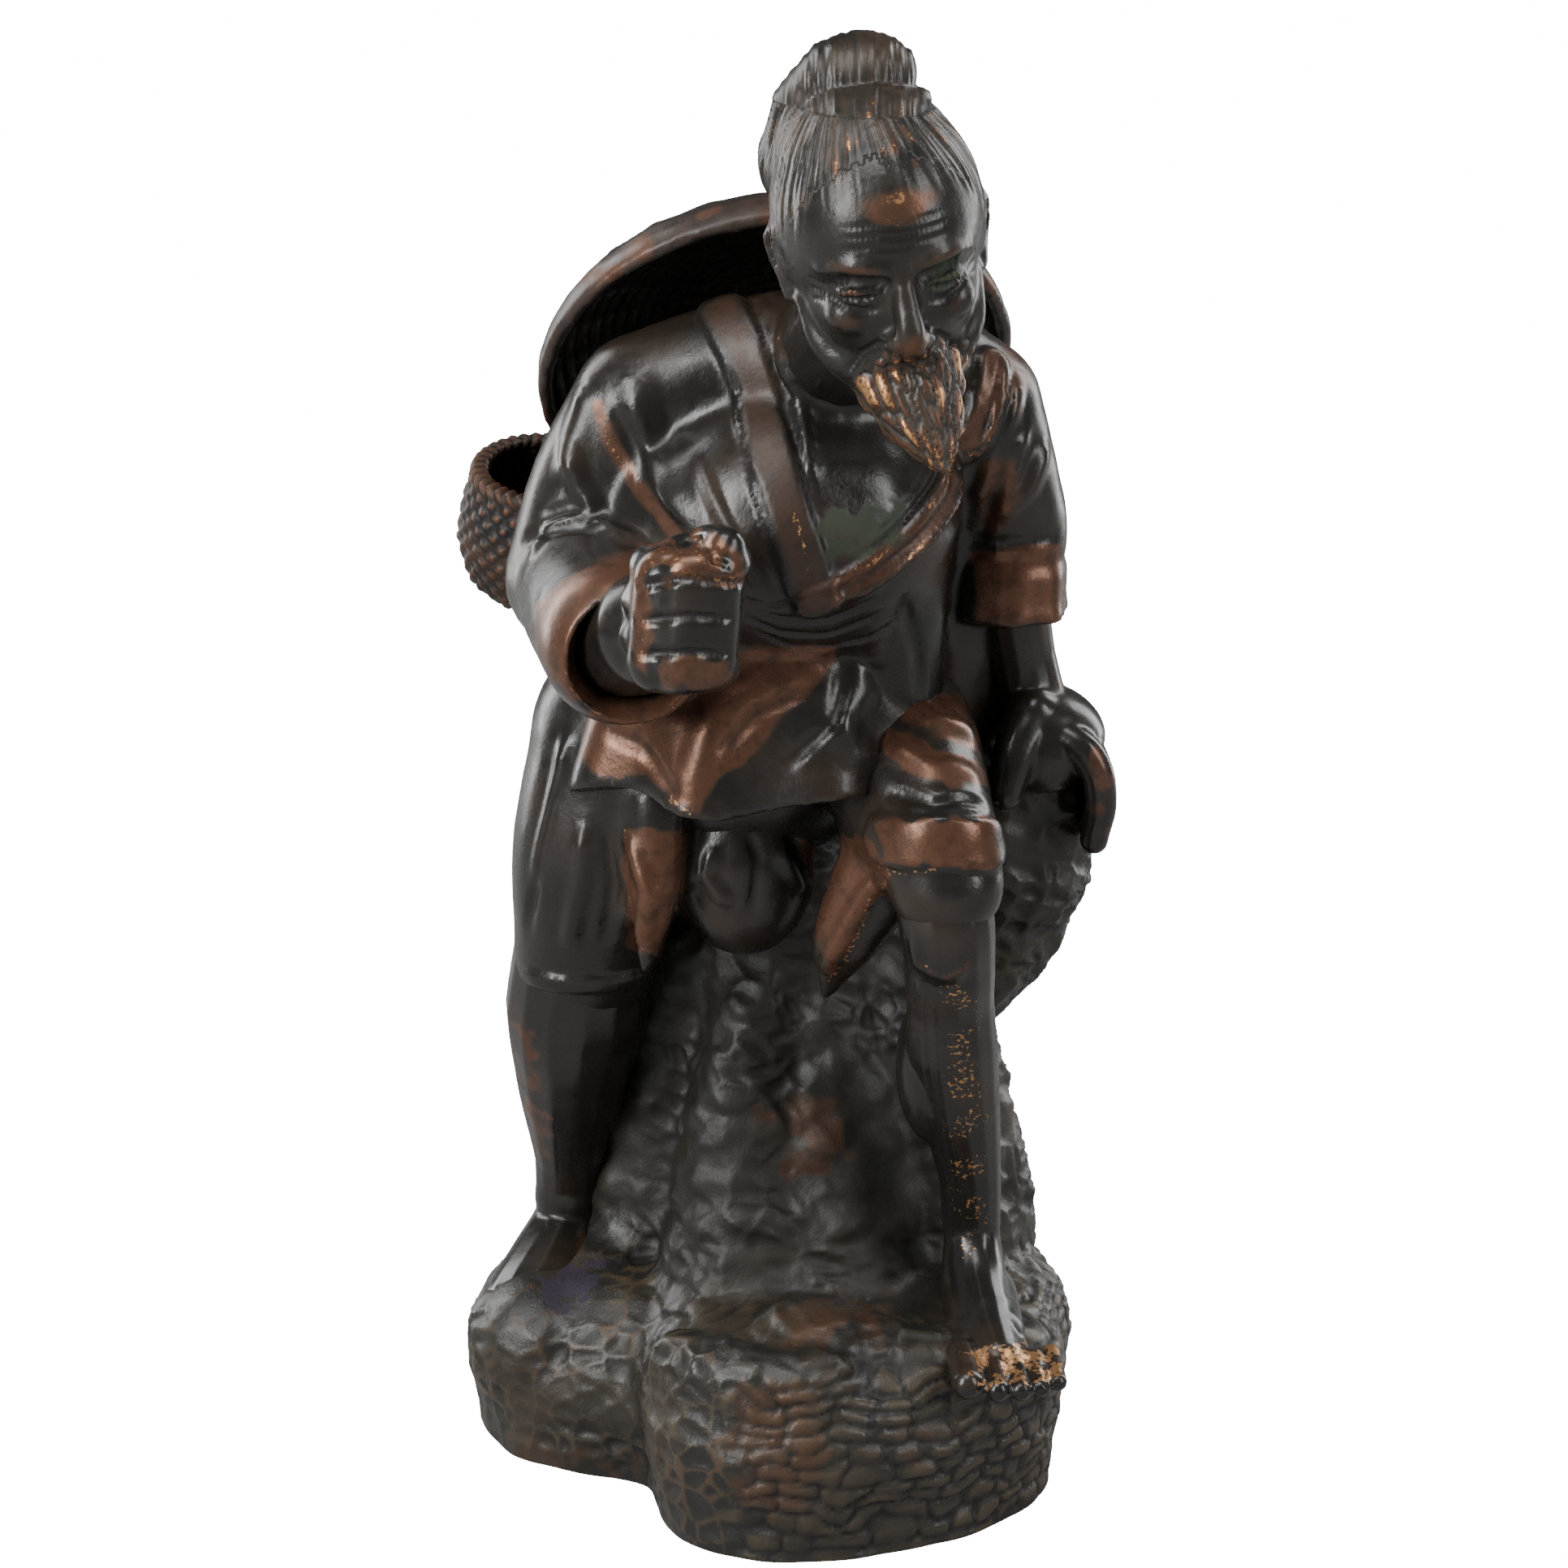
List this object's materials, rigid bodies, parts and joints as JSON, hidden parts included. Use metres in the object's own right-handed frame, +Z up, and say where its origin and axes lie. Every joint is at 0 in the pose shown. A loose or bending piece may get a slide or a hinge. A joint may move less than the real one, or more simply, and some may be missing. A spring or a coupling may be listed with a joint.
{
  "type": "cast bronze figure of an old fisherman",
  "caption": "Cast bronze figure of an old bearded fisherman with a topknot, leaning forward on a rock, fist held out, hat on his back and creel on his hip.",
  "frame": {"origin": "centre of the bounding box's bottom, on the ground under the rock", "axes": "+Z up along the figure's height; the figure faces -Y"},
  "size_m": [0.172, 0.167, 0.39],
  "materials": {
    "patinated_bronze": "dark brown patina, satin, rubbed to copper and gold on the high parts"
  },
  "bodies": {
    "root": {"fisherman_statue": "patinated_bronze"}
  },
  "joints": []
}
